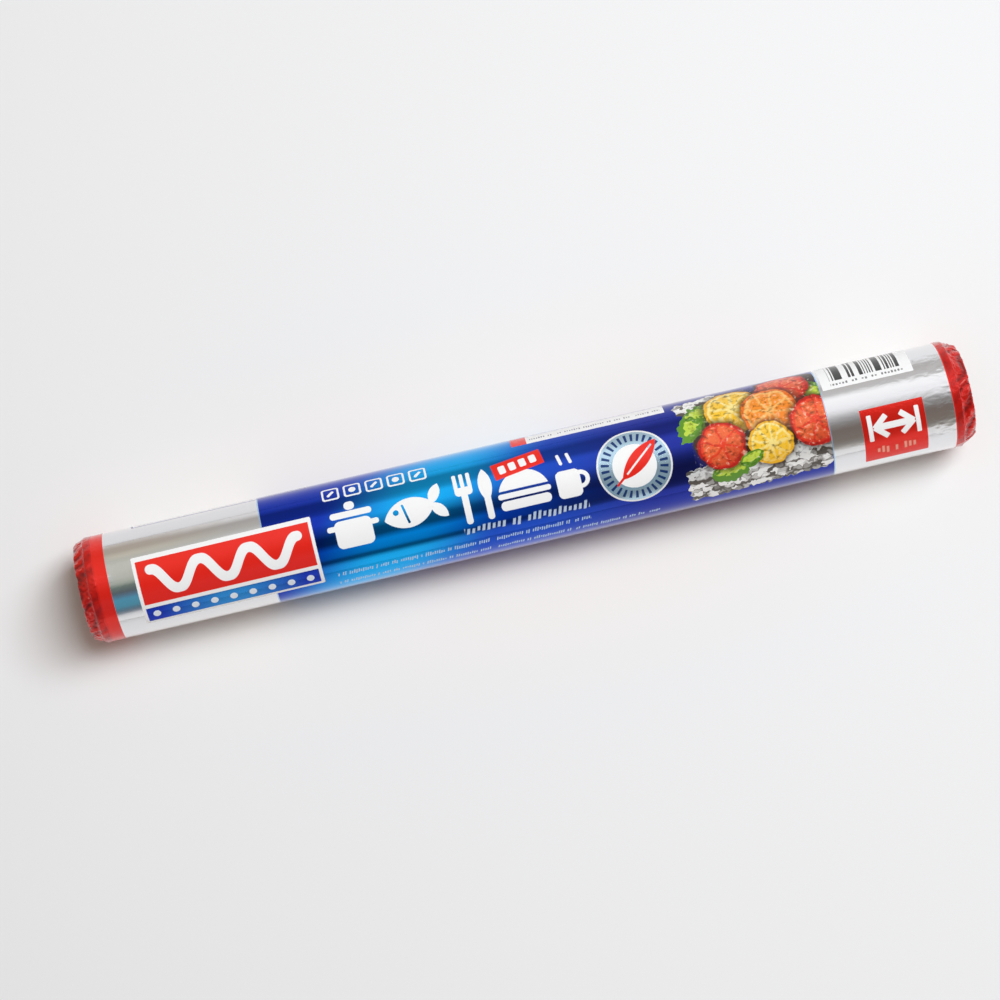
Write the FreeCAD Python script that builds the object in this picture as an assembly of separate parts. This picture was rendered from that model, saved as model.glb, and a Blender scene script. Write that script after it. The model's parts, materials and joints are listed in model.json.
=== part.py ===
"""A roll of kitchen foil in its printed shrink film: cardboard core, wound foil and film sleeve.

The roll lies along X on the plane z = 0. The origin is on that plane, under the middle of the roll.
Lengths are millimetres.
"""

import FreeCAD, Part

import math
import os
import random

from FreeCAD import Vector

# Cardboard core
core_bore_radius = 14.0
core_wall = 1.2
core_overhang = 3.5  # past the foil, at each end

# Wound foil
foil_width = 290.0
foil_build = 2.43  # depth of all the turns together
turn_bundles = 6  # groups of turns whose edges line up
turn_play = 0.3  # between the furthest and the nearest of those edges
turn_seed = 2

# Shrink film
film_thickness = 0.1
film_slack = 0.02  # air between the foil and the film
flat_depth = 0.2  # the lying roll is pressed flat by this much
seam_width = 6.0  # the lap where the sleeve was welded
seam_angle = -28.0  # degrees from +Y towards +Z, so that the lap lies behind and below

# Gathered ends of the film, which shrank round the core's rims
pleat_count = 23
shoulder_reach = 0.7  # how soon past the foil the film has closed in
shoulder_drop = 0.8
crest_rise = 1.5  # from the core's end to the furthest fold
rim_play = 0.55  # between the film's folds and the core's outer corner
hole_play = 0.3  # between the film's cut edge and the bore
edge_play = 0.45  # between the film's cut edge and the core's end face
pleat_depth = 0.32  # from the mean surface to a ridge or a valley
crumple = 0.14  # uneven part of every fold
fold_play = 0.4  # how far a fold may lie behind the furthest one
fold_wander = 0.22  # sideways, as a share of the distance between folds
fold_shares = (0.4, 1.0, 1.0, 0.7, 0.25, 0.0)  # depth of the folds from the foil to the cut edge
left_seed = 11
right_seed = 4

core_radius = core_bore_radius + core_wall
foil_radius = core_radius + foil_build
film_inner_radius = foil_radius + film_slack
film_radius = film_inner_radius + film_thickness
axis_height = film_radius - flat_depth
foil_end = foil_width / 2
core_end = foil_end + core_overhang
corner_count = 2 * pleat_count
ALONG = Vector(1, 0, 0)


def point(x, radius, angle):
    """The place at a distance along the roll, a radius from its axis and an angle from +Y to +Z."""
    return Vector(x, radius * math.cos(angle), axis_height + radius * math.sin(angle))


def make_core():
    """The cardboard tube that the foil is wound on."""
    start = Vector(-core_end, 0, axis_height)
    outside = Part.makeCylinder(core_radius, 2 * core_end, start, ALONG)
    bore = Part.makeCylinder(core_bore_radius, 2 * core_end, start, ALONG)
    return outside.cut(bore)


def turn_edges(draw):
    """Where each bundle of turns ends, from the core outwards. The furthest ends at foil_end."""
    set_back = [draw.random() for _ in range(turn_bundles)]
    least, most = min(set_back), max(set_back)
    return [foil_end - turn_play * (s - least) / (most - least) for s in set_back]


def make_winding():
    """All the turns of foil as one ring with stepped ends, and the flat on which the roll lies."""
    draw = random.Random(turn_seed)
    left, right = turn_edges(draw), turn_edges(draw)
    step = foil_build / turn_bundles
    radii = [core_radius + i * step for i in range(turn_bundles + 1)]
    right_side = [(x, r) for i, x in enumerate(right) for r in (radii[i], radii[i + 1])]
    left_side = [(-x, r) for i, x in enumerate(left) for r in (radii[i], radii[i + 1])]
    outline = [point(x, r, 0) for x, r in right_side + left_side[::-1]]
    section = Part.Face(Part.makePolygon(outline + outline[:1]))
    turns = section.revolve(Vector(0, 0, axis_height), ALONG, 360)
    flat_height = film_thickness + film_slack
    corner = Vector(-foil_end, -foil_radius, flat_height - foil_radius)
    return turns.cut(Part.makeBox(foil_width, 2 * foil_radius, foil_radius, corner))


def ring_angles(radius, flat_height):
    """Angles of a ring's corners. The first and last are the two edges of the flat under the roll."""
    half_flat = math.acos((axis_height - flat_height) / radius)
    step = 2 * (math.pi - half_flat) / (corner_count - 1)
    return [half_flat - math.pi / 2 + i * step for i in range(corner_count)]


def lip_profile():
    """The film's path past the foil, from its shoulder to its cut edge: distance and radius."""
    shoulder = (shoulder_reach, film_radius - shoulder_drop)
    rim = (core_overhang, core_radius + rim_play + pleat_depth)
    waist = ((shoulder[0] + rim[0]) / 2, (shoulder[1] + rim[1]) / 2)
    crest = (core_overhang + crest_rise, (core_radius + core_bore_radius) / 2 + rim_play)
    edge = (core_overhang + edge_play, core_bore_radius + hole_play)
    inside = ((2 * crest[0] + edge[0]) / 3, (crest[1] + 3 * edge[1]) / 4)
    return [shoulder, waist, rim, crest, inside, edge]


def inward_normals(profile):
    """At each station of the lip, the direction from the film's outer skin to its inner skin."""
    path = [(0.0, film_radius), *profile, profile[-1]]
    normals = []
    for before, after in zip(path, path[2:]):
        run, rise = after[0] - before[0], after[1] - before[1]
        size = math.hypot(run, rise)
        normals.append((rise / size, -run / size))
    return normals


def lip_rings(side, seed):
    """The folded end of the film as rings of corners, outer skin and inner skin, out to the cut edge."""
    draw = random.Random(seed)
    angles = ring_angles(film_radius, 0.0)
    pitch = angles[1] - angles[0]
    profile = lip_profile()
    outer, inner = [], []
    for (reach, radius), normal, share in zip(profile, inward_normals(profile), fold_shares):
        set_back = [draw.random() for _ in range(corner_count)]
        least = min(set_back)
        outer_ring, inner_ring = [], []
        for i, angle in enumerate(angles):
            ridge = pleat_depth if i % 2 else -pleat_depth
            x = foil_end + reach - fold_play * share * (set_back[i] - least)
            r = radius + share * (ridge + crumple * draw.uniform(-1, 1))
            turn = angle + fold_wander * pitch * share * draw.uniform(-1, 1)
            outer_ring.append(point(side * x, r, turn))
            x_in, r_in = x + film_thickness * normal[0], r + film_thickness * normal[1]
            inner_ring.append(point(side * x_in, r_in, turn))
        outer.append(outer_ring)
        inner.append(inner_ring)
    return outer, inner


def body_edges(x, radius, flat_height):
    """The film's section where it lies on the foil: an arc for each pleat's side, and the flat."""
    angles = ring_angles(radius, flat_height)
    edges = []
    for a, b in zip(angles, angles[1:]):
        middle = point(x, radius, (a + b) / 2)
        edges.append(Part.Arc(point(x, radius, a), middle, point(x, radius, b)).toShape())
    edges.append(Part.makeLine(point(x, radius, angles[-1]), point(x, radius, angles[0])))
    return edges


def triangle(a, b, c):
    return Part.Face(Part.makePolygon([a, b, c, a]))


def band_faces(near, far, shift):
    """Two flat facets for each pair of neighbouring corners of two rings, split in turn either way."""
    faces = []
    for i in range(len(near)):
        j = (i + 1) % len(near)
        if (i + shift) % 2:
            faces += [triangle(near[i], near[j], far[i]), triangle(near[j], far[j], far[i])]
        else:
            faces += [triangle(near[i], near[j], far[j]), triangle(near[i], far[j], far[i])]
    return faces


def shoulder_faces(edges, ring):
    """The faces that take the film from its round section to the first folded ring."""
    faces = []
    for i, edge in enumerate(edges):
        fold = Part.makeLine(ring[i], ring[(i + 1) % len(ring)])
        faces.append(Part.makeRuledSurface(edge, fold))
    return faces


def skin_faces(radius, flat_height, left, right):
    """One skin of the film, outer or inner, from cut edge to cut edge."""
    faces = []
    for side, rings in ((-1, left), (1, right)):
        edges = body_edges(side * foil_end, radius, flat_height)
        faces += shoulder_faces(edges, rings[0])
        for k, (near, far) in enumerate(zip(rings, rings[1:])):
            faces += band_faces(near, far, k)
    faces += [edge.extrude(Vector(-foil_width, 0, 0)) for edge in edges]
    return faces


def make_seam():
    """The welded lap of the sleeve: one more layer of film in a strip along the roll."""
    half = seam_width / 2 / film_radius
    middle = math.radians(seam_angle)
    angles = (middle - half, middle, middle + half)
    a, b, c = (point(-foil_end, film_radius, angle) for angle in angles)
    d, e, f = (point(-foil_end, film_radius + film_thickness, angle) for angle in angles)
    inside, outside = Part.Arc(a, b, c).toShape(), Part.Arc(f, e, d).toShape()
    outline = Part.Wire([inside, Part.makeLine(c, f), outside, Part.makeLine(d, a)])
    return Part.Face(outline).extrude(Vector(foil_width, 0, 0))


def make_film():
    """The printed sleeve: a thin tube with a lap seam, its ends folded over the core's rims."""
    left_outer, left_inner = lip_rings(-1, left_seed)
    right_outer, right_inner = lip_rings(1, right_seed)
    faces = skin_faces(film_radius, 0.0, left_outer, right_outer)
    faces += skin_faces(film_inner_radius, film_thickness, left_inner, right_inner)
    faces += band_faces(left_outer[-1], left_inner[-1], 0)
    faces += band_faces(right_outer[-1], right_inner[-1], 0)
    skin = Part.Shell(faces)
    skin.sewShape()
    tube = Part.Solid(skin)
    if tube.Volume < 0:
        tube.reverse()
    return tube.fuse(make_seam()).removeSplitter()


def export(name, shape):
    shape.exportStep(f"parts/{name}.step")
    box = shape.BoundBox
    print(
        f"{name}: {len(shape.Solids)} solid, {len(shape.Faces)} faces, valid {shape.isValid()}, "
        f"{shape.Volume:.1f} mm3, x {box.XMin:.3f} to {box.XMax:.3f}, "
        f"y {box.YMin:.3f} to {box.YMax:.3f}, z {box.ZMin:.3f} to {box.ZMax:.3f}"
    )


def main():
    os.makedirs("parts", exist_ok=True)
    export("core_tube", make_core())
    export("foil_winding", make_winding())
    export("film_sleeve", make_film())


main()
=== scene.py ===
"""A roll of kitchen foil in printed shrink film: a lesson in mesh operators, node groups and studio light."""

# %% [markdown]
# # A roll of kitchen foil
# The real thing has three pieces: a cardboard core, about 190 turns of aluminium foil and a film sleeve
# that was printed flat, welded into a tube and shrunk on with hot air. The film is what one sees, so most
# of this lesson is about it: a thin skin with crumpled ends, and transparent and opaque inks on top of
# bright metal.

import json
import math
import random

import bmesh
import bpy
from mathutils import Matrix, Vector, noise


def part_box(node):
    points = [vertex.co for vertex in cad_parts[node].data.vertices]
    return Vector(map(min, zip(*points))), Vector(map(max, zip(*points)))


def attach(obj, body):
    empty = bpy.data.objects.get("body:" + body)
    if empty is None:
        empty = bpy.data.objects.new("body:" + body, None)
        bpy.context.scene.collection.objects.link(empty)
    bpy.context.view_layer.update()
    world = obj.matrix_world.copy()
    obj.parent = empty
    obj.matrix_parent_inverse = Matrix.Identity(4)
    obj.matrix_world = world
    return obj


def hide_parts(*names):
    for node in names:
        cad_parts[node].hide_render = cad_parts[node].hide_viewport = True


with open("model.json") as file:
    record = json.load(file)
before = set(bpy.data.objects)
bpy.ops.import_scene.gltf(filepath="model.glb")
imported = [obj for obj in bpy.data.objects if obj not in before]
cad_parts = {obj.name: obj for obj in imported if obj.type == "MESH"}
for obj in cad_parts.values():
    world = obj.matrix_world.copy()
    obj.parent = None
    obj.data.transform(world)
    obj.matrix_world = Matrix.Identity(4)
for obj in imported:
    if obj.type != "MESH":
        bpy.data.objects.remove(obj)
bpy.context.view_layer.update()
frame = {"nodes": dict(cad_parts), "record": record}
print("pieces in the frame:", sorted(frame["nodes"]))

# %% [markdown]
# ## Sizes
# Every size that the construction fixes is read from the frame, so that the look follows it. The print
# is laid out in millimetres on the unrolled film, because that is how a printer draws it: one direction
# along the roll, the other round it, with zero facing the viewer.

# %% Read the sizes
MM = 0.001
core_low, core_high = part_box("core_tube")
foil_low, foil_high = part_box("foil_winding")
film_low, film_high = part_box("film_sleeve")
bore = next(mount for mount in frame["record"]["mounts"] if mount["name"] == "core_bore")

BORE_RADIUS = bore["dims"]["r_mm"] * MM
CORE_RADIUS = (core_high.z - core_low.z) / 2
AXIS_HEIGHT = (core_high.z + core_low.z) / 2
FOIL_RADIUS = foil_high.z - AXIS_HEIGHT
FILM_RADIUS = film_high.z - AXIS_HEIGHT
FOIL_END = foil_high.x
CORE_END = core_high.x
LIP_END = film_high.x
FACE_TILT = math.radians(8.2)  # the middle of the print leans this far from the top to the viewer
print(f"film {2 * FILM_RADIUS / MM:.1f} mm across, {2 * LIP_END / MM:.0f} mm long")

# %% [markdown]
# ## The camera
# The photograph looks almost straight down on the roll from a metre, through a long lens. The roll lies
# at a slant in the picture because it is turned on the table, not because anything is tilted. Both the
# lens and the height can be measured on the picture. Where the camera looks square at a cylinder, its
# rings are straight lines, and they bulge more and more to either side, the faster the wider the lens.

# %% Place the camera
PICTURE = 1000  # pixels, both ways
FOCAL_PIXELS = 3050
ELEVATION = math.radians(83)
YAW = math.radians(13.04)  # between the roll and the picture's horizontal, on the table
DISTANCE = 1.0106
ROLL_IN_PICTURE = (524.4, 491.6)  # where the middle of the roll is seen, from the upper left


def camera_axes():
    """The camera's right, up and backward directions."""
    right = Vector((math.cos(YAW), -math.sin(YAW), 0))
    away = Vector((math.sin(YAW), math.cos(YAW), 0))
    back = -away * math.cos(ELEVATION) + Vector((0, 0, math.sin(ELEVATION)))
    return right, back.cross(right), back


def place_camera():
    right, up, back = camera_axes()
    metres_per_pixel = DISTANCE / FOCAL_PIXELS
    aside = (ROLL_IN_PICTURE[0] - PICTURE / 2) * metres_per_pixel
    below = (ROLL_IN_PICTURE[1] - PICTURE / 2) * metres_per_pixel
    target = Vector((0, 0, AXIS_HEIGHT)) - right * aside + up * below
    data = bpy.data.cameras.new("photographer")
    data.sensor_width = 36
    data.lens = FOCAL_PIXELS / PICTURE * data.sensor_width
    data.clip_start, data.clip_end = 0.05, 20
    camera = bpy.data.objects.new("photographer", data)
    turn = Matrix((right, up, back)).transposed().to_4x4()
    camera.matrix_world = Matrix.Translation(target + back * DISTANCE) @ turn
    bpy.context.collection.objects.link(camera)
    bpy.context.scene.camera = camera
    return camera


camera = place_camera()
bpy.context.scene.view_settings.view_transform = "Standard"
print("camera at", [round(value, 3) for value in camera.location], "lens", round(camera.data.lens, 1), "mm")

# %% [markdown]
# ## Node helpers
# Materials and light are built from nodes in code, and short helpers keep that readable. One feeds a
# socket from either a link or a plain value, most make one node each, and the last ones start a group,
# place it in a tree, start a material and give it bump.

# %% Define the node helpers
def plug(tree, target, source):
    """Feeds a node's socket from another socket, or sets it to a plain value."""
    if isinstance(source, bpy.types.NodeSocket):
        tree.links.new(source, target)
    else:
        target.default_value = source


def calc(tree, operation, *values, clamp=False):
    """A Math node's result."""
    node = tree.nodes.new("ShaderNodeMath")
    node.operation = operation
    node.use_clamp = clamp
    for target, source in zip(node.inputs, values):
        plug(tree, target, source)
    return node.outputs[0]


def times(tree, one, other, clamp=False):
    return calc(tree, "MULTIPLY", one, other, clamp=clamp)


def minus(tree, one, other, clamp=False):
    return calc(tree, "SUBTRACT", one, other, clamp=clamp)


def calc_vector(tree, operation, *values):
    """A Vector Math node's result."""
    node = tree.nodes.new("ShaderNodeVectorMath")
    node.operation = operation
    for target, source in zip(node.inputs, values):
        plug(tree, target, source)
    return node.outputs["Value" if operation in ("LENGTH", "DOT_PRODUCT") else "Vector"]


def mix_colour(tree, share, below, above):
    node = tree.nodes.new("ShaderNodeMix")
    node.data_type = "RGBA"
    plug(tree, node.inputs[0], share)
    plug(tree, node.inputs[6], (*below, 1) if isinstance(below, tuple) else below)
    plug(tree, node.inputs[7], (*above, 1) if isinstance(above, tuple) else above)
    return node.outputs[2]


def mix_value(tree, share, below, above):
    node = tree.nodes.new("ShaderNodeMix")
    plug(tree, node.inputs[0], share)
    plug(tree, node.inputs[2], below)
    plug(tree, node.inputs[3], above)
    return node.outputs[0]


def ramp(tree, value, low, high, to_low=0.0, to_high=1.0, kind="LINEAR"):
    """A value carried from one range to another, and held at its ends."""
    node = tree.nodes.new("ShaderNodeMapRange")
    node.interpolation_type = kind
    for target, source in zip(node.inputs, (value, low, high, to_low, to_high)):
        plug(tree, target, source)
    return node.outputs[0]


def split(tree, vector):
    node = tree.nodes.new("ShaderNodeSeparateXYZ")
    plug(tree, node.inputs[0], vector)
    return node.outputs[0], node.outputs[1], node.outputs[2]


def combine(tree, *values):
    node = tree.nodes.new("ShaderNodeCombineXYZ")
    for target, source in zip(node.inputs, values):
        plug(tree, target, source)
    return node.outputs[0]


def speckle(tree, place, scale, detail=3.0, stretch=(1, 1, 1), distortion=0.0):
    """Noise at a place, with so many blotches a metre, and stretched where a factor is under 1."""
    stretched = calc_vector(tree, "MULTIPLY", place, stretch)
    node = tree.nodes.new("ShaderNodeTexNoise")
    plug(tree, node.inputs["Vector"], stretched)
    node.inputs["Scale"].default_value = scale
    node.inputs["Detail"].default_value = detail
    node.inputs["Distortion"].default_value = distortion
    return node.outputs[0]


def new_group(name, inputs, outputs):
    """An empty node group with named sockets, and its two end nodes."""
    group = bpy.data.node_groups.new(name, "ShaderNodeTree")
    for label, kind in inputs.items():
        group.interface.new_socket(label, in_out="INPUT", socket_type="NodeSocket" + kind)
    for label, kind in outputs.items():
        group.interface.new_socket(label, in_out="OUTPUT", socket_type="NodeSocket" + kind)
    return group, group.nodes.new("NodeGroupInput").outputs, group.nodes.new("NodeGroupOutput").inputs


def use_group(tree, group, **values):
    """Places a group in a tree. A socket's name is given with underscores for its spaces."""
    node = tree.nodes.new("ShaderNodeGroup")
    node.node_tree = group
    for label, value in values.items():
        plug(tree, node.inputs[label.replace("_", " ")], value)
    return node.outputs


def new_material(name):
    """A material, its tree, its Principled shader and the place on the object."""
    material = bpy.data.materials.new(name)
    material.use_nodes = True
    tree = material.node_tree
    place = tree.nodes.new("ShaderNodeTexCoord").outputs["Object"]
    return material, tree, tree.nodes["Principled BSDF"], place


def add_bump(tree, shader, height):
    """Bump from a height in metres."""
    bump = tree.nodes.new("ShaderNodeBump")
    bump.inputs["Distance"].default_value = 1.0
    plug(tree, bump.inputs["Height"], height)
    plug(tree, shader.inputs["Normal"], bump.outputs["Normal"])


# %% [markdown]
# ## Light
# Bright metal shows the room more than it shows itself, so the room is the first part of the finish. Read
# from the viewer's side up and over, the photograph's silver shows a white table, a dark room, a wide
# bright window overhead and a dimmer wall behind. The left end of the roll looks into another part of the
# room than the right end does. So the world is three strips, mixed by direction. Only glossy rays see
# them. Everything else gets one plain level, and one big soft lamp hangs high on the far right. It gives
# the roll its short shadow, which falls towards the viewer and the left.

# %% Light the room
ROOM_LEVEL = (0.29, 0.235, 0.205)  # what matt surfaces get from all round
BACKDROP = (0.90, 0.90, 0.91)
LAMP_PLACE = (0.95, 0.40, 2.1)
LAMP_SIZE = (0.95, 1.7)
LAMP_LEVEL = 10.4
LAMP_TINT = (0.93, 1.0, 1.04)
LEFT_TO_MIDDLE = (-0.09, -0.05)  # how far along the roll a direction leans where two strips meet
MIDDLE_TO_RIGHT = (0.015, 0.06)
LEFT_ROOM = (  # degrees over the roll from the near horizon to the far one, and the brightness there
    (0, (0.88, 0.88, 0.88)),
    (14, (0.66, 0.66, 0.68)),
    (19, (0.16, 0.19, 0.23)),
    (26, (0.11, 0.19, 0.25)),
    (34, (0.08, 0.25, 0.34)),
    (50, (0.08, 0.26, 0.37)),
    (58, (0.10, 0.18, 0.26)),
    (66, (0.11, 0.13, 0.14)),
    (78, (0.17, 0.21, 0.18)),
    (86, (0.42, 0.45, 0.38)),
    (96, (0.52, 0.52, 0.45)),
    (138, (0.53, 0.52, 0.45)),
    (146, (0.60, 0.56, 0.46)),
    (158, (0.46, 0.40, 0.33)),
    (168, (0.45, 0.39, 0.33)),
    (180, (0.60, 0.56, 0.52)),
)
MIDDLE_ROOM = (
    (0, (0.90, 0.90, 0.90)),
    (14, (0.85, 0.85, 0.85)),
    (19, (0.50, 0.50, 0.52)),
    (24, (0.05, 0.12, 0.16)),
    (29, (0.05, 0.12, 0.16)),
    (34, (0.08, 0.36, 0.52)),
    (52, (0.10, 0.50, 0.72)),
    (60, (0.08, 0.24, 0.36)),
    (66, (0.05, 0.10, 0.14)),
    (80, (0.07, 0.12, 0.16)),
    (88, (0.32, 0.35, 0.38)),
    (100, (0.62, 0.66, 0.70)),
    (110, (0.98, 0.98, 1.00)),
    (128, (1.00, 1.00, 1.00)),
    (136, (0.60, 0.60, 0.60)),
    (145, (0.46, 0.45, 0.44)),
    (163, (0.42, 0.41, 0.40)),
    (172, (0.75, 0.75, 0.75)),
    (180, (0.90, 0.90, 0.90)),
)
RIGHT_ROOM = (
    (0, (0.90, 0.90, 0.90)),
    (14, (0.78, 0.77, 0.76)),
    (20, (0.38, 0.36, 0.33)),
    (28, (0.25, 0.23, 0.21)),
    (36, (0.21, 0.175, 0.15)),
    (60, (0.19, 0.15, 0.13)),
    (72, (0.26, 0.25, 0.24)),
    (84, (0.44, 0.43, 0.43)),
    (94, (0.74, 0.74, 0.75)),
    (104, (1.00, 1.00, 1.02)),
    (128, (1.12, 1.12, 1.13)),
    (134, (0.90, 0.90, 0.90)),
    (140, (0.60, 0.59, 0.58)),
    (150, (0.58, 0.56, 0.55)),
    (162, (0.50, 0.48, 0.47)),
    (171, (0.68, 0.67, 0.66)),
    (180, (0.86, 0.86, 0.86)),
)


def room_strip(tree, share, stops):
    """A strip of the room, where share is 0 at the near horizon and 1 at the far one."""
    node = tree.nodes.new("ShaderNodeValToRGB")
    plug(tree, node.inputs[0], share)
    elements = node.color_ramp.elements
    while len(elements) < len(stops):
        elements.new(0.5)
    for element, (degrees, colour) in zip(elements, stops):
        element.position = degrees / 180
        element.color = (*colour, 1)
    return node.outputs[0]


def make_world():
    world = bpy.data.worlds.new("room")
    world.use_nodes = True
    tree = world.node_tree
    x, y, z = split(tree, tree.nodes.new("ShaderNodeTexCoord").outputs["Generated"])
    over = calc(tree, "ARCTAN2", z, times(tree, y, -1))
    share = calc(tree, "DIVIDE", over, math.pi, clamp=True)
    strips = [room_strip(tree, share, stops) for stops in (LEFT_ROOM, MIDDLE_ROOM, RIGHT_ROOM)]
    to_middle = ramp(tree, x, *LEFT_TO_MIDDLE, kind="SMOOTHSTEP")
    to_right = ramp(tree, x, *MIDDLE_TO_RIGHT, kind="SMOOTHSTEP")
    in_gloss = mix_colour(tree, to_right, mix_colour(tree, to_middle, strips[0], strips[1]), strips[2])
    path = tree.nodes.new("ShaderNodeLightPath")
    lit = mix_colour(tree, path.outputs["Is Glossy Ray"], ROOM_LEVEL, in_gloss)
    shown = mix_colour(tree, path.outputs["Is Camera Ray"], lit, BACKDROP)
    tree.links.new(shown, tree.nodes["Background"].inputs["Color"])
    bpy.context.scene.world = world


def add_soft_lamp(name, place, size, brightness, tint):
    """A rectangular lamp that faces the roll and stays out of its reflections."""
    data = bpy.data.lights.new(name, "AREA")
    data.shape = "RECTANGLE"
    data.size, data.size_y = size
    data.color = tint
    data.energy = brightness * math.pi * size[0] * size[1]
    lamp = bpy.data.objects.new(name, data)
    lamp.location = place
    lamp.rotation_euler = (Vector((0, 0, 0)) - lamp.location).to_track_quat("-Z", "Y").to_euler()
    lamp.visible_glossy = False
    bpy.context.collection.objects.link(lamp)
    return lamp


make_world()
soft_lamp = add_soft_lamp("soft_lamp", LAMP_PLACE, LAMP_SIZE, LAMP_LEVEL, LAMP_TINT)
print("room level", ROOM_LEVEL, "and a lamp of", round(soft_lamp.data.energy, 1), "W")

# %% [markdown]
# ## The table
# A white table top, a little uneven, as the photograph shows. It is one wide square. Its colour is painted
# lighter round a spot beside the roll and dimmer further off: a painted pool of light. The blue film throws
# blue light on the white beside it, more than the photograph shows, so close to the roll the colour is
# painted warmer: painted warm bounce light, which also hides the blue. Far from the roll it takes the
# backdrop's brightness for the camera alone, so that no horizon shows from low down and the roll gets no
# light from it.

# %% Lay the table
TABLE = 16.0
# The table's colour is painted lighter round this spot and dimmer further off: a painted pool of light.
PAINTED_LIGHT_SPOT = (0.07, 0.06, 0)
TABLE_IN_PAINTED_LIGHT = (0.86, 0.86, 0.865)
TABLE_PAINTED_DIM = (0.82, 0.82, 0.828)
# Painted warm bounce light close to the roll, which also hides the blue light the film throws.
TABLE_PAINTED_WARM_BOUNCE = (0.925, 0.872, 0.832)
TABLE_GLOSS = 0.1


def make_table():
    mesh = bpy.data.meshes.new("table")
    shape = bmesh.new()
    bmesh.ops.create_grid(shape, x_segments=1, y_segments=1, size=TABLE / 2)
    shape.to_mesh(mesh)
    shape.free()
    table = bpy.data.objects.new("table", mesh)
    bpy.context.collection.objects.link(table)
    material, tree, shader, place = new_material("white table top")
    # Painted pool of light: lighter round a spot beside the roll, dimmer further off.
    from_painted_light = calc_vector(tree, "LENGTH", calc_vector(tree, "SUBTRACT", place, PAINTED_LIGHT_SPOT))
    shade = mix_colour(tree, ramp(tree, from_painted_light, 0.05, 0.35), TABLE_IN_PAINTED_LIGHT, TABLE_PAINTED_DIM)
    # Painted warm bounce light close to the roll.
    from_roll = calc_vector(tree, "LENGTH", calc_vector(tree, "MULTIPLY", place, (0.35, 1, 0)))
    painted_warm_bounce = ramp(tree, from_roll, 0.075, 0.022, kind="SMOOTHSTEP")
    shade = mix_colour(tree, painted_warm_bounce, shade, TABLE_PAINTED_WARM_BOUNCE)
    blotch = speckle(tree, place, 9, detail=2)
    shade = mix_colour(tree, times(tree, blotch, 0.04), shade, (0.68, 0.66, 0.64))
    from_camera = tree.nodes.new("ShaderNodeLightPath").outputs["Is Camera Ray"]
    far = times(tree, ramp(tree, from_painted_light, 0.4, 1.6, kind="SMOOTHSTEP"), from_camera)
    plug(tree, shader.inputs["Base Color"], mix_colour(tree, far, shade, (0, 0, 0)))
    plug(tree, shader.inputs["Emission Strength"], far)
    shader.inputs["Emission Color"].default_value = (*BACKDROP, 1)
    shader.inputs["Roughness"].default_value = 0.6
    plug(tree, shader.inputs["Specular IOR Level"], mix_value(tree, far, TABLE_GLOSS, 0.0))
    mesh.materials.append(material)
    return table


make_table()
print("table", TABLE, "m across")

# %% [markdown]
# ## Patterns of ink
# Film is printed with flat shapes, so the print is made of a few pattern groups, each a shape in
# millimetres on the unrolled film. The first turns a place on the roll into that flat sheet. The second
# draws a rounded bar, which is also a disc or a box when its numbers say so. A picture made of such
# shapes stays sharp at any size, which an image wouldn't.

# %% Make the pattern groups
EDGE_BLUR = 0.16  # mm, how soft the edge of an ink is


def make_unrolled():
    """From a place on the roll to a spot on the flat film: millimetres along it and round it."""
    group, given, result = new_group(
        "unrolled film", {"Place": "Vector"}, {"Spot": "Vector", "Along": "Float", "Round": "Float"}
    )
    x, y, z = split(group, given["Place"])
    up = minus(group, z, AXIS_HEIGHT)
    angle = calc(group, "ARCTAN2", times(group, y, -1), up)
    round_film = times(group, minus(group, angle, FACE_TILT), FILM_RADIUS / MM)
    along = calc(group, "DIVIDE", x, MM)
    plug(group, result["Spot"], combine(group, along, round_film, 0.0))
    plug(group, result["Along"], along)
    plug(group, result["Round"], round_film)
    return group


def make_patch():
    """A rounded bar of ink. Core is its half size without its rounded rim, and Rim is that rim's radius."""
    group, given, result = new_group(
        "rounded patch",
        {"Spot": "Vector", "Centre": "Vector", "Core": "Vector", "Rim": "Float", "Turn": "Float"},
        {"Ink": "Float"},
    )
    offset = calc_vector(group, "SUBTRACT", given["Spot"], given["Centre"])
    turned = group.nodes.new("ShaderNodeVectorRotate")
    turned.rotation_type = "Z_AXIS"
    plug(group, turned.inputs["Vector"], offset)
    plug(group, turned.inputs["Angle"], given["Turn"])
    size = calc_vector(group, "ABSOLUTE", turned.outputs[0])
    past = calc_vector(group, "MAXIMUM", calc_vector(group, "SUBTRACT", size, given["Core"]), (0, 0, 0))
    inside = minus(group, given["Rim"], calc_vector(group, "LENGTH", past))
    plug(group, result["Ink"], calc(group, "MULTIPLY_ADD", inside, 1 / EDGE_BLUR, 0.5, clamp=True))
    return group


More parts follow.
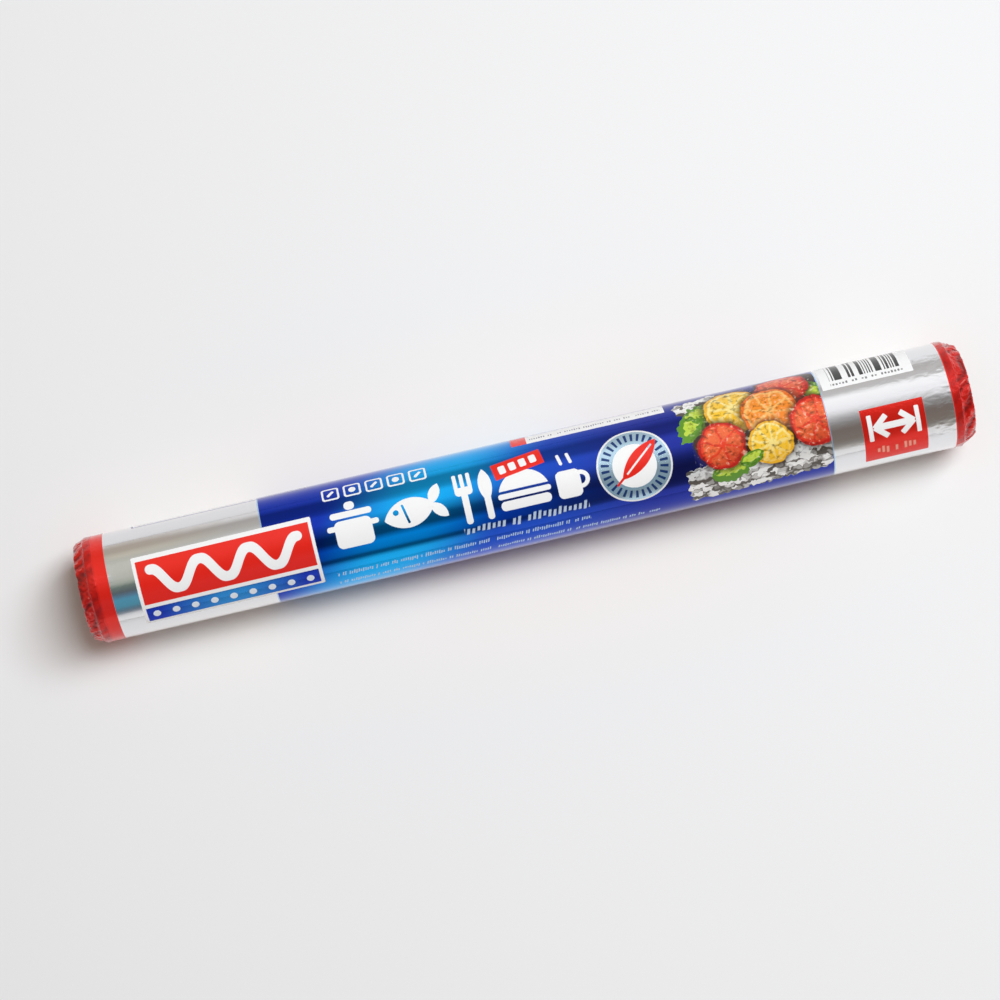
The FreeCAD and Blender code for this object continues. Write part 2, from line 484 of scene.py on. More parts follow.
def make_slice():
    """A round slice with spokes between its segments, the soft shadow round it and the shade on it."""
    group, given, result = new_group(
        "fruit slice",
        {"Spot": "Vector", "Centre": "Vector", "Radius": "Float", "Segments": "Float", "Turn": "Float"},
        {"Shadow": "Float", "Disc": "Float", "Flesh": "Float", "Wedges": "Float", "Shade": "Float"},
    )
    offset = calc_vector(group, "SUBTRACT", given["Spot"], given["Centre"])
    x, y, _ = split(group, offset)
    distance = calc_vector(group, "LENGTH", offset)
    share = calc(group, "DIVIDE", distance, given["Radius"])
    angle = calc(group, "ADD", calc(group, "ARCTAN2", y, x), given["Turn"])
    turns = calc(group, "DIVIDE", angle, 2 * math.pi)
    step = calc(group, "PINGPONG", times(group, turns, given["Segments"]), 0.5)
    spoke = times(group, calc(group, "DIVIDE", step, given["Segments"]), distance)
    wedges = ramp(group, spoke, 0.03, 0.10)
    wedges = times(group, wedges, ramp(group, share, 0.12, 0.2))
    plug(group, result["Wedges"], times(group, wedges, ramp(group, share, 0.82, 0.76)))
    disc = ramp(group, share, 1.01, 0.98)
    towards_shade = calc(group, "DIVIDE", calc(group, "MULTIPLY_ADD", x, 0.5, y), given["Radius"])
    plug(group, result["Shade"], times(group, disc, ramp(group, towards_shade, -0.1, 1.1, 0.0, 0.75)))
    plug(group, result["Disc"], disc)
    plug(group, result["Flesh"], ramp(group, share, 0.91, 0.87))
    plug(group, result["Shadow"], ramp(group, share, 1.25, 0.98, 0.0, 0.9))
    return group


def make_strokes():
    """Rows of slanted strokes of uneven height with gaps between them: fine print from a step away."""
    group, given, result = new_group(
        "rows of strokes",
        {"Along": "Float", "Round": "Float", "Pitch": "Float", "Row": "Float", "Slant": "Float"},
        {"Ink": "Float"},
    )
    row = calc(group, "DIVIDE", given["Round"], given["Row"])
    number = calc(group, "FLOOR", row)
    in_row = minus(group, minus(group, row, number), 0.5)
    lean = times(group, times(group, in_row, given["Row"]), given["Slant"])
    column = calc(group, "DIVIDE", calc(group, "ADD", given["Along"], lean), given["Pitch"])
    column = calc(group, "MULTIPLY_ADD", number, 0.37, column)
    cell = combine(group, calc(group, "FLOOR", column), number, 0.0)
    chance = group.nodes.new("ShaderNodeTexWhiteNoise")
    chance.noise_dimensions = "2D"
    plug(group, chance.inputs["Vector"], cell)
    tallness, kept, shift = split(group, chance.outputs["Color"])
    reach = calc(group, "MULTIPLY_ADD", tallness, 0.14, 0.17)
    from_line = calc(group, "ABSOLUTE", calc(group, "MULTIPLY_ADD", shift, 0.12, in_row))
    tall = times(group, minus(group, reach, from_line), 16.0, clamp=True)
    from_middle = calc(group, "ABSOLUTE", minus(group, calc(group, "FRACT", column), 0.5))
    wide = ramp(group, from_middle, 0.34, 0.22)
    drawn = calc(group, "GREATER_THAN", kept, 0.14)
    plug(group, result["Ink"], times(group, times(group, tall, wide), drawn))
    return group


UNROLLED, PATCH, SLICE, STROKES = make_unrolled(), make_patch(), make_slice(), make_strokes()
print("pattern groups:", [group.name for group in (UNROLLED, PATCH, SLICE, STROKES)])

# %% [markdown]
# ## Laying ink on ink
# A printing press lays one colour after another. The class below does the same: it keeps the colour and
# the metal shine so far, and each new ink covers what its mask says. Metal shine is 1 where the ink is
# transparent and the foil shines through it, and 0 where it is opaque.

# %% Define the press
SILVER = (0.84, 0.84, 0.855)
WHITE = (0.91, 0.91, 0.91)
RED = (0.86, 0.016, 0.006)
LIP_RED = (0.62, 0.008, 0.004)
# Painted shade for the lips' fold valleys.
LIP_PAINTED_FOLD_SHADE = (0.09, 0.003, 0.003)
# Pale lip ridges: partly stress-whitened film, partly painted glints.
LIP_WHITENED_AND_PAINTED_GLINT = (0.94, 0.42, 0.36)
NAVY = (0.002, 0.030, 0.43)
ROYAL = (0.008, 0.075, 0.56)
DEEP_BLUE = (0.016, 0.032, 0.34)
CYAN = (0.002, 0.46, 0.96)
PALE_BLUE = (0.50, 0.70, 0.90)
INK_BLUE = (0.01, 0.05, 0.20)


class Press:
    """The inks laid on the film so far."""

    def __init__(self, tree, spot, along, round_film):
        self.tree = tree
        self.spot = spot
        self.along = along
        self.round = round_film
        self.colour = SILVER
        self.metal = 1.0
        self.window = None

    def patch(self, centre, half, rim=0.15, turn=0.0, spot=None):
        """A rounded bar. A rim as large as both halves makes a disc."""
        sockets = use_group(
            self.tree,
            PATCH,
            Spot=spot or self.spot,
            Centre=(*centre, 0),
            Core=(half[0] - rim, half[1] - rim, 0),
            Rim=rim,
            Turn=math.radians(turn),
        )
        return sockets["Ink"]

    def folded(self, start, pitch):
        """The spot within its step, so that one shape is drawn in every step of a row."""
        step = calc(self.tree, "FLOORED_MODULO", minus(self.tree, self.along, start), pitch)
        return combine(self.tree, step, self.round, 0.0)

    def disc(self, centre, radius):
        return self.patch(centre, (radius, radius), rim=radius)

    def leaf(self, centre, length, width, turn):
        """A pointed leaf: what two discs share."""
        radius = (length**2 + width**2) / (4 * width)
        aside = radius - width / 2
        lean = math.radians(turn)
        across = (math.sin(lean) * aside, math.cos(lean) * aside)
        one = self.disc((centre[0] + across[0], centre[1] + across[1]), radius)
        other = self.disc((centre[0] - across[0], centre[1] - across[1]), radius)
        return calc(self.tree, "MINIMUM", one, other)

    def all_of(self, *masks):
        """Ink wherever any of the masks has it."""
        whole = masks[0]
        for mask in masks[1:]:
            whole = calc(self.tree, "MAXIMUM", whole, mask)
        return whole

    def without(self, mask, hole):
        return minus(self.tree, mask, hole, clamp=True)

    def within(self, mask, window):
        return times(self.tree, mask, window)

    def strokes(self, centre, half, pitch, row, slant=0.0):
        """Fine print in a window, with one of its rows on the window's middle."""
        level = minus(self.tree, self.round, centre[1] - row / 2)
        sockets = use_group(
            self.tree, STROKES, Along=self.along, Round=level, Pitch=pitch, Row=row, Slant=slant
        )
        return self.within(sockets["Ink"], self.patch(centre, half, 0.2))

    def lay(self, mask, colour, metal=0.0):
        if self.window:
            mask = self.within(mask, self.window)
        self.colour = mix_colour(self.tree, mask, self.colour, colour)
        self.metal = mix_value(self.tree, mask, self.metal, metal)


print("inks ready")

# %% [markdown]
# ## The printed design
# Fields and panels sit where the photograph has them. The pictures in them are plain kitchen things of
# our own: a pot, a fish, cutlery, a bun and a cup in a row, a leaf for the badge, and slices of lemon,
# orange and tomato on silver for the food. No lettering is drawn. Each part of the label is one function,
# in the order in which a press would lay it.

# %% Draw the fields
FIELD = (-86.5, 101.0)  # the blue field, from and to, in mm along the roll
RED_BAND = -138.7
RIGHT_RED = 142.6


def lay_fields(press):
    """The blue field with its glow, and the red ends."""
    tree = press.tree
    middle, half = (FIELD[0] + FIELD[1]) / 2, (FIELD[1] - FIELD[0]) / 2
    glow_middle = calc(tree, "MULTIPLY_ADD", press.round, -0.82, -38.0)
    from_glow = calc(tree, "ABSOLUTE", minus(tree, press.along, glow_middle))
    glow = ramp(tree, from_glow, 36, 4, 0.0, 0.9, kind="SMOOTHSTEP")
    blue = mix_colour(tree, ramp(tree, press.along, -75, -30, kind="SMOOTHSTEP"), NAVY, ROYAL)
    blue = mix_colour(tree, ramp(tree, press.along, -5, 45, kind="SMOOTHSTEP"), blue, DEEP_BLUE)
    blue = mix_colour(tree, glow, blue, CYAN)
    press.lay(press.patch((middle, 0), (half + 0.4, 90)), PALE_BLUE, 0.7)
    press.lay(press.patch((middle, 0), (half, 90)), blue, 1.0)
    left_end = ramp(tree, press.along, RED_BAND + 0.08, RED_BAND - 0.08)
    right_end = ramp(tree, press.along, RIGHT_RED - 0.08, RIGHT_RED + 0.08)
    press.lay(press.all_of(left_end, right_end), RED, 0.3)


def lay_left_panel(press):
    """A red panel with a white wave in a white frame, and a blue strip of dots at its foot."""
    tree = press.tree
    middle, lean = -100.4, 0.4
    press.lay(press.patch((middle, 4.05), (29.9, 12.3), 0.5, lean), WHITE)
    press.lay(press.patch((middle, 0.85), (28.8, 7.45), 0.2, lean), RED, 0.15)
    wave_length, swing, level = 16.3, 3.9, 0.9
    phase = times(tree, minus(tree, press.along, middle), 2 * math.pi / wave_length)
    height = times(tree, calc(tree, "COSINE", phase), -swing)
    slope = times(tree, calc(tree, "SINE", phase), swing * 2 * math.pi / wave_length)
    off_wave = calc(tree, "ADD", height, minus(tree, press.round, level))
    steepness = calc(tree, "SQRT", calc(tree, "MULTIPLY_ADD", slope, slope, 1.0))
    off_wave = calc(tree, "DIVIDE", calc(tree, "ABSOLUTE", off_wave), steepness)
    ribbon = ramp(tree, off_wave, 1.72, 1.56)
    ribbon = press.within(ribbon, press.patch((middle, level), (1.5 * wave_length, 6.2)))
    tips = [press.disc((middle + side * 1.5 * wave_length, level - swing), 1.64) for side in (-1, 1)]
    press.lay(press.all_of(ribbon, *tips), WHITE)
    from_middle = calc(tree, "ABSOLUTE", minus(tree, press.along, middle))
    strip_blue = mix_colour(tree, ramp(tree, from_middle, 24, 4), NAVY, (0.02, 0.24, 0.62))
    press.lay(press.patch((middle, 12.55), (28.8, 2.85), 0.2, lean), strip_blue, 0.9)
    step = press.folded(middle - 3.2, 6.4)
    dots = press.patch((3.2, 12.6), (1.25, 1.25), 1.25, spot=step)
    press.lay(press.within(dots, press.patch((middle, 12.6), (27.4, 2.0), 0.2)), (0.78, 0.84, 0.92))


def lay_title(press):
    """A row of bold white kitchen pictures: pot, fish, fork and knife, bun and cup."""
    pot = press.all_of(
        press.patch((-57.4, 0.2), (6.2, 4.6), 2.0),
        press.patch((-57.4, -6.3), (6.9, 1.1), 1.0),
        press.patch((-57.4, -9.2), (1.7, 1.5), 1.3),
        press.patch((-57.4, -2.2), (8.6, 0.9), 0.8),
    )
    fish = press.all_of(
        press.leaf((-38.6, -2.2), 17.2, 9.6, 8),
        press.leaf((-29.6, -6.6), 7.4, 3.6, 62),
        press.leaf((-28.8, -1.0), 7.4, 3.6, -46),
    )
    fish = press.without(fish, press.disc((-43.0, -3.0), 0.95))
    fish = press.without(fish, press.patch((-39.9, -2.0), (0.4, 3.3), 0.35, turn=12))
    tine = press.patch((1.15, -8.2), (0.65, 3.1), 0.5, spot=press.folded(-23.35, 2.3))
    fork = press.all_of(
        press.within(tine, press.patch((-19.9, -8.2), (3.4, 3.3), 0.3)),
        press.patch((-19.9, -5.0), (2.95, 1.4), 1.3),
        press.patch((-19.9, 0.8), (1.1, 5.4), 1.0),
    )
    knife = press.all_of(press.leaf((-12.7, -5.6), 11.6, 4.4, 90), press.patch((-12.7, 1.8), (1.1, 4.3), 1.0))
    dome = press.within(press.disc((-0.6, 0.6), 8.6), press.patch((-0.6, -5.6), (9.2, 3.6), 0.5))
    bun = press.all_of(
        dome,
        press.patch((-0.6, -0.2), (8.8, 0.9), 0.8),
        press.patch((-0.6, 3.0), (8.4, 1.6), 1.5),
    )
    steam = press.patch((1.6, -8.2), (0.55, 2.0), 0.5, turn=12, spot=press.folded(11.0, 3.2))
    cup = press.all_of(
        press.patch((14.2, 0.4), (4.0, 4.6), 1.8),
        press.without(press.disc((18.2, -0.4), 3.0), press.disc((18.2, -0.4), 1.6)),
        press.within(steam, press.patch((14.2, -8.2), (3.2, 2.6), 0.3)),
    )
    press.lay(press.all_of(pot, fish, fork, knife, bun, cup), WHITE)


def lay_small_signs(press):
    """Five small framed signs above the title, a pale line below it, and two lines of fine print."""
    centre, start, pitch = (3.65, -15.6), -66.25, 7.3
    every = press.folded(start, pitch)
    frames = press.patch(centre, (2.9, 2.9), 1.0, spot=every)
    frames = press.without(frames, press.patch(centre, (2.25, 2.25), 0.6, spot=every))
    every_other = press.folded(start, 2 * pitch)
    bars = press.patch(centre, (1.5, 0.5), 0.4, turn=45, spot=every_other)
    dots = press.patch((centre[0] + pitch, centre[1]), (1.2, 1.2), 1.2, spot=every_other)
    window = press.patch((start + 2.5 * pitch, centre[1]), (2.5 * pitch, 3.4))
    press.lay(press.within(press.all_of(frames, bars, dots), window), WHITE)
    press.lay(press.strokes((-1.6, 8.9), (20.9, 2.5), 1.7, 5.4, 0.25), (0.62, 0.74, 0.90), 0.3)
    for level, to in ((14.3, 19), (18.8, 42)):
        line = press.strokes(((to - 66) / 2, level), ((to + 66) / 2, 1.4), 0.75, 3.2, 0.2)
        press.lay(line, (0.46, 0.62, 0.82), 0.5)


def lay_tag(press):
    """A small red tag at a slant, with four white bars."""
    press.lay(press.patch((-0.9, -10.2), (8.5, 2.95), 0.3, turn=9), RED, 0.15)
    bars = [press.patch((-6.2 + 3.5 * i, -9.35 - 0.56 * i), (1.15, 1.5), 0.5, turn=9) for i in range(4)]
    press.lay(press.all_of(*bars), WHITE)


def lay_top_strip(press):
    """A white strip along the far edge, with a small red square before it."""
    press.lay(press.patch((27.1, -22.0), (23.3, 3.5), 0.2), WHITE)
    press.lay(press.strokes((27.1, -21.0), (22.0, 1.1), 0.8, 2.4), (0.25, 0.25, 0.30))
    press.lay(press.patch((1.3, -22.0), (2.6, 3.5), 0.3), RED, 0.15)


def lay_badge(press):
    """A round badge: a white rim, a pale ring with scale marks, and a red leaf on a white disc."""
    tree = press.tree
    centre = (36.3, -0.6)
    press.lay(press.disc(centre, 12.5), WHITE, 0.2)
    press.lay(press.disc(centre, 11.9), (0.50, 0.70, 0.84), 0.75)
    x, y, _ = split(tree, calc_vector(tree, "SUBTRACT", press.spot, (*centre, 0)))
    turns = calc(tree, "DIVIDE", calc(tree, "ARCTAN2", y, x), 2 * math.pi)
    from_mark = calc(tree, "PINGPONG", times(tree, turns, 30.0), 0.5)
    ring = press.without(press.disc(centre, 11.1), press.disc(centre, 8.4))
    press.lay(press.within(ramp(tree, from_mark, 0.25, 0.18), ring), INK_BLUE, 0.5)
    press.lay(press.disc(centre, 7.3), WHITE)
    leaf = press.leaf((38.2, -2.4), 17.4, 6.0, 40)
    stalk = press.patch((31.4, 3.2), (2.6, 0.4), 0.3, turn=40)
    vein = press.patch((38.2, -2.4), (6.4, 0.3), 0.2, turn=40)
    press.lay(press.without(press.all_of(leaf, stalk), vein), RED, 0.15)


print("fields, panels and badge drawn")

# %% [markdown]
# The food picture is the busiest place. Its parts overlap like a real still life: creased foil first,
# then a dark ground, leaves and slices, each slice over its own soft shadow. A slice is rind, flesh and
# segments, so lemon and tomato share one group. The spot is wobbled by a little noise before any of
# these shapes is measured, which makes every outline look grown instead of drawn with compasses. One
# last speckle over the whole picture gives pulp, crumbs and wet highlights at once.

# %% Draw the food picture
LEMON = ((0.86, 0.44, 0.01), (0.94, 0.76, 0.26), (0.93, 0.56, 0.03))
ORANGE = ((0.80, 0.16, 0.01), (0.93, 0.50, 0.14), (0.88, 0.27, 0.02))
TOMATO = ((0.50, 0.010, 0.005), (0.80, 0.05, 0.015), (0.84, 0.14, 0.04))
LEAF_GREEN = (0.10, 0.27, 0.015)
LEAF_LIGHT = (0.50, 0.66, 0.06)
DARK = (0.030, 0.012, 0.006)
CREAM = (0.95, 0.86, 0.62)


def wobble(tree, spot, reach, pitch):
    """A spot moved by up to reach millimetres, by noise whose blotches are pitch millimetres wide."""
    node = tree.nodes.new("ShaderNodeTexNoise")
    node.noise_dimensions = "2D"
    plug(tree, node.inputs["Vector"], spot)
    node.inputs["Scale"].default_value = 1 / pitch
    node.inputs["Detail"].default_value = 1.0
    shift = calc_vector(tree, "SUBTRACT", node.outputs["Color"], (0.5, 0.5, 0.5))
    return calc_vector(tree, "MULTIPLY_ADD", shift, (2 * reach, 2 * reach, 0), spot)


def lay_slice(press, centre, radius, segments, turn, inks):
    parts = use_group(
        press.tree,
        SLICE,
        Spot=press.spot,
        Centre=(*centre, 0),
        Radius=radius,
        Segments=float(segments),
        Turn=math.radians(turn),
    )
    for mask, colour in zip(("Shadow", "Disc", "Flesh", "Wedges", "Shade"), (DARK, *inks, inks[0])):
        press.lay(parts[mask], colour)


def lay_leaf(press, centre, length, width, turn):
    press.lay(press.leaf(centre, length, width, turn), LEAF_GREEN)
    press.lay(press.leaf((centre[0], centre[1] - 0.5), length * 0.8, width * 0.5, turn), LEAF_LIGHT)


def lay_creased_foil(press):
    """Foil under the food: every facet between its creases has its own brightness."""
    tree = press.tree
    cells = tree.nodes.new("ShaderNodeTexVoronoi")
    cells.voronoi_dimensions = "2D"
    cells.inputs["Scale"].default_value = 0.62
    plug(tree, cells.inputs["Vector"], calc_vector(tree, "MULTIPLY", press.spot, (0.55, 1.0, 1.0)))
    tone, _, _ = split(tree, cells.outputs["Color"])
    crease = ramp(tree, cells.outputs["Distance"], 0.35, 0.75, 0.0, 0.35)
    tone = minus(tree, tone, crease)
    sheet = press.all_of(
        press.patch((76.5, 10.2), (24.0, 6.8), 2.0, turn=4),
        press.patch((61.0, -18.5), (7.5, 3.6), 2.0, turn=14),
        press.patch((97.0, 6.0), (6.0, 6.0), 2.0),
    )
    facets = mix_colour(tree, ramp(tree, tone, 0.1, 0.6), (0.10, 0.085, 0.07), (0.93, 0.92, 0.90))
    press.lay(sheet, facets, 0.4)


def lay_food(press):
    """Slices of lemon, orange and tomato with green leaves on a piece of foil."""
    tree = press.tree
    flat = press.spot
    press.window = ramp(tree, press.along, FIELD[1] + 0.1, FIELD[1] - 0.1)
    smooth = wobble(tree, flat, 0.9, 4.0)
    frilly = wobble(tree, flat, 1.5, 2.2)
    press.spot = frilly
    lay_creased_foil(press)
    press.spot = smooth
    ground = press.patch((79.0, -7.5), (22.5, 11.5), 8.0)
    ground = press.all_of(ground, press.patch((91.0, -13.0), (10.0, 11.6), 4.0))
    press.lay(ground, DARK)
    press.spot = frilly
    for centre, turn in (((57.6, -9.5), 50), ((62.0, -13.5), 0), ((97.5, -13.0), -35), ((67.0, 8.4), 8)):
        lay_leaf(press, centre, 13.5, 8.4, turn)
    press.spot = smooth
    lay_slice(press, (72.0, -12.5), 9.6, 9, 10, LEMON)
    lay_slice(press, (89.5, -17.5), 8.8, 6, 25, TOMATO)
    lay_slice(press, (83.5, -8.5), 9.4, 8, 30, ORANGE)
    lay_slice(press, (97.5, -2.0), 8.6, 6, 12, TOMATO)
    lay_slice(press, (65.8, -0.6), 8.0, 6, 40, TOMATO)
    lay_slice(press, (81.5, 2.2), 7.4, 9, 0, LEMON)
    lay_leaf(press, (74.5, 5.8), 9.5, 5.0, 20)
    pulp = speckle(tree, flat, 0.75, detail=3, stretch=(0.8, 1, 1), distortion=0.6)
    whole = press.patch((78.5, -7.0), (22.5, 16.0), 6.0)
    press.lay(press.within(ramp(tree, pulp, 0.52, 0.72, 0.0, 0.75), whole), DARK)
    press.lay(press.within(ramp(tree, pulp, 0.42, 0.28, 0.0, 0.5), whole), CREAM)
    press.spot, press.window = flat, None


def lay_right_end(press):
    """A white label with plain bars, and a red panel with the sign for a length."""
    tree = press.tree
    press.lay(press.patch((117.5, -22.6), (15.3, 11.4), 0.3), WHITE)
    stripe = calc(tree, "FLOOR", calc(tree, "DIVIDE", press.along, 0.42))
    cell = tree.nodes.new("ShaderNodeTexWhiteNoise")
    cell.noise_dimensions = "1D"
    plug(tree, cell.inputs["W"], stripe)
    bar = calc(tree, "LESS_THAN", cell.outputs["Value"], 0.5)
    groups = [press.patch((middle, -23.6), (6.1, 9.0)) for middle in (111.4, 124.2)]
    press.lay(press.within(bar, press.all_of(*groups)), (0.03, 0.03, 0.03))
    press.lay(press.strokes((117.8, -12.8), (12.6, 0.9), 1.1, 1.9), (0.20, 0.20, 0.20))
    press.lay(press.patch((122.3, 8.7), (10.6, 10.3), 0.2), RED, 0.5)
    middle, level = 122.3, 5.2
    arrow = [press.patch((middle, level), (5.8, 1.15), 0.3)]
    for side in (-1, 1):
        arrow.append(press.patch((middle + side * 8.0, level), (0.75, 4.6), 0.3))
        for lean in (-1, 1):
            wing = (middle + side * 4.5, level + lean * 1.75)
            arrow.append(press.patch(wing, (2.9, 0.95), 0.3, turn=42 * side * lean))
    press.lay(press.all_of(*arrow), WHITE)
    press.lay(press.strokes((middle, 14.5), (7.6, 2.4), 1.5, 5.4), (0.86, 0.36, 0.26), 0.3)


def lay_back(press):
    """Boxes of fine print, most of them out of the viewer's sight."""
    centre = (-99.5, -30.4)
    frame_line = press.without(press.patch(centre, (29.4, 6.9), 0.3), press.patch(centre, (28.9, 6.4), 0.3))
    press.lay(frame_line, (0.02, 0.03, 0.30))
    press.lay(press.strokes(centre, (27.6, 5.4), 0.8, 1.9), (0.05, 0.05, 0.15))
    press.lay(press.strokes((-20.0, -31.0), (52.0, 5.4), 0.9, 2.1), PALE_BLUE, 0.4)


print("food picture, labels and back drawn")

# %% [markdown]
# ## The film's finish
# Printed film over foil is metal seen through a clear gloss: the shader is metallic under transparent
# inks, plain under opaque ones, and has a coat over everything. The coat is thin, and it shows more the
# more the film turns away from the viewer. Its surface is never quite even. Long shallow streaks run
# along the roll where the film pulled tight, dents follow the foil below, and towards the right end,
# where it was gathered hardest, the film is crinkled. They are bump, because they are hundredths of a
# millimetre deep. Only the largest crinkles by the right end are in the mesh too.

# %% Make the film's finish
GATHERED = 142.4 * MM  # from the middle to where the film starts to crumple
STREAK_DEPTH = 0.003 * MM
FOLD_DEPTH = 0.014 * MM
DENT_DEPTH = 0.03 * MM
CRINKLE_DEPTH = 0.10 * MM


def make_ripple():
    """The film's unevenness as a height in metres: streaks along the roll, dents and end crinkles."""
    group, given, result = new_group("film ripple", {"Place": "Vector"}, {"Height": "Float"})
    place = given["Place"]
    streaks = speckle(group, place, 900, detail=2, stretch=(0.02, 1, 1))
    folds = speckle(group, place, 210, detail=2, stretch=(0.10, 1, 1), distortion=0.3)
    dents = speckle(group, place, 95, detail=1)
    crinkles = speckle(group, place, 300, detail=3, stretch=(0.5, 1, 1), distortion=1.2)
    x, _, _ = split(group, place)
    right = ramp(group, x, 0.085, FOIL_END, 0.04, 1.0, kind="SMOOTHSTEP")
    left = ramp(group, x, -0.132, -FOIL_END, 0.0, 0.4)
    crinkled = times(group, calc(group, "ADD", right, left), CRINKLE_DEPTH)
    height = times(group, streaks, STREAK_DEPTH)
    height = calc(group, "MULTIPLY_ADD", folds, FOLD_DEPTH, height)
    height = calc(group, "MULTIPLY_ADD", dents, DENT_DEPTH, height)
    height = calc(group, "MULTIPLY_ADD", crinkles, crinkled, height)
    plug(group, result["Height"], height)
    return group


RIPPLE = make_ripple()


def lay_lips(press):
    """The gathered ends: less like metal without foil behind, with painted shade in the fold valleys, and
    paler on the ridges, partly stress-whitened film and partly painted glints.
    """
    tree = press.tree
    past = minus(tree, calc(tree, "ABSOLUTE", press.along), GATHERED / MM)
    press.window = ramp(tree, past, 0.0, 1.0)
    press.lay(0.85, LIP_RED, 0.45)
    fold = tree.nodes.new("ShaderNodeAttribute")
    fold.attribute_name = "fold"
    # Painted shade: the fold valleys are darkened.
    press.lay(ramp(tree, fold.outputs["Fac"], 0.05, -0.55, 0.0, 0.7), LIP_PAINTED_FOLD_SHADE, 0.4)
    # The ridges are paled: partly stress-whitened film, partly painted glints.
    press.lay(ramp(tree, fold.outputs["Fac"], 0.5, 0.9, 0.0, 0.5), LIP_WHITENED_AND_PAINTED_GLINT)
    press.window = None


def make_film_finish():
    material, tree, shader, place = new_material("printed film on foil")
    sheet = use_group(tree, UNROLLED, Place=place)
    press = Press(tree, sheet["Spot"], sheet["Along"], sheet["Round"])
    first = (lay_fields, lay_left_panel, lay_title, lay_small_signs, lay_tag, lay_top_strip, lay_badge)
    for lay_part in (*first, lay_food, lay_right_end, lay_back, lay_lips):
        lay_part(press)
    plug(tree, shader.inputs["Base Color"], press.colour)
    plug(tree, shader.inputs["Metallic"], press.metal)
    haze = speckle(tree, place, 70, detail=3, stretch=(0.15, 1, 1))
    metal_haze = ramp(tree, haze, 0.3, 0.7, 0.07, 0.15)
    plug(tree, shader.inputs["Roughness"], mix_value(tree, press.metal, 0.38, metal_haze))
    turned_away = tree.nodes.new("ShaderNodeLayerWeight").outputs["Facing"]
    coat = ramp(tree, calc(tree, "POWER", turned_away, 3.0), 0.0, 1.0, 0.25, 0.9)
    plug(tree, shader.inputs["Coat Weight"], coat)
    shader.inputs["Coat Roughness"].default_value = 0.05
    shader.inputs["Coat IOR"].default_value = 1.5
    add_bump(tree, shader, use_group(tree, RIPPLE, Place=place)["Height"])
    print("film finish:", len(tree.nodes), "nodes")
    return material


FILM_FINISH = make_film_finish()

# %% [markdown]
# ## The film sleeve
# A tube of film is a line spun round the roll's axis. The line has few points where the film lies tight
# and many where it was gathered. After the spin each end is crumpled: every corner is moved a little
# along, round and out, the four-sided faces are split into triangles, and the edges are given a crease.
# One step of subdivision then rounds the facets just enough, as stiff film bends. Noise on a smooth
# surface would have been easier, but it gives lumps where shrunk film has flat facets and sharp folds.

# %% Spin and crumple the film
CORNERS = 160  # points round the roll
SAME_PLACE = 0.001 * MM  # corners closer than this are one
FILM_WALL = 0.1 * MM
PLEATS = 15
SEAM_ANGLE = math.radians(-118)  # from the top towards the viewer
SEAM_HALF = 3.0 * MM / FILM_RADIUS
EDGE_RADIUS = BORE_RADIUS + 0.3 * MM
CRINKLED = 12 * MM  # how far the film is crinkled before the right end


def lip_line(side, outwards):
    """The gathered film's path past the foil, side -1 on the left and 1 on the right."""
    rim = CORE_RADIUS + 0.87 * MM
    shoulder = FILM_RADIUS - 0.8 * MM
    crest = (CORE_RADIUS + BORE_RADIUS) / 2 + 0.55 * MM
    tip = LIP_END if side > 0 else LIP_END - 0.8 * MM
    path = (
        (GATHERED + 0.9 * MM, FILM_RADIUS),
        (GATHERED + 1.8 * MM, FILM_RADIUS),
        (FOIL_END + 0.25 * MM, FILM_RADIUS),
        (FOIL_END + 0.75 * MM, shoulder + 0.35 * MM),
        (FOIL_END + 1.4 * MM, shoulder - 0.15 * MM),
        (FOIL_END + 2.4 * MM, (shoulder + rim) / 2),
        (CORE_END, rim),
        (CORE_END + 0.6 * MM, rim - 0.3 * MM),
        (tip, crest),
        (tip - 0.25 * MM, (crest + 3 * EDGE_RADIUS) / 4),
        (CORE_END + 0.3 * MM, EDGE_RADIUS),
    )
    points = [Vector((side * x, 0, AXIS_HEIGHT + radius)) for x, radius in path]
    return points if outwards else points[::-1]


def body_line():
    """The tight film between its ends, with closer points where it is crinkled."""
    start, crinkle_start = -GATHERED, GATHERED - CRINKLED
    wide = [start + i * (crinkle_start - start) / 24 for i in range(25)]
    close = [crinkle_start + i * CRINKLED / 8 for i in range(1, 9)]
    return [Vector((x, 0, AXIS_HEIGHT + FILM_RADIUS)) for x in wide + close]


def spin_line(shape, points, steps):
    """Spins a line of points once round the roll's axis."""
    corners = [shape.verts.new(point) for point in points]
    edges = [shape.edges.new(pair) for pair in zip(corners, corners[1:])]
    bmesh.ops.spin(
        shape,
        geom=corners + edges,
        cent=(0, 0, AXIS_HEIGHT),
        axis=(1, 0, 0),
        angle=2 * math.pi,
        steps=steps,
        use_merge=True,
    )


def from_axis(place):
    """A place's radius about the roll's axis, and its angle from the top towards the viewer."""
    up = place.z - AXIS_HEIGHT
    return math.hypot(place.y, up), math.atan2(-place.y, up)


def at_axis(x, radius, angle):
    return Vector((x, -radius * math.sin(angle), AXIS_HEIGHT + radius * math.cos(angle)))


def fold_share(x, radius):
    """How much the film is folded here: a little over the foil's end, most over the core's rim."""
    if abs(x) <= GATHERED:
        return 0.0
    if abs(x) <= FOIL_END + 0.3 * MM:
        return 0.4
    return math.sin(math.pi * min(1.0, (FILM_RADIUS - radius) / (FILM_RADIUS - EDGE_RADIUS))) ** 0.6


def zigzag(steps):
    return 4 * abs(steps - math.floor(steps) - 0.5) - 1


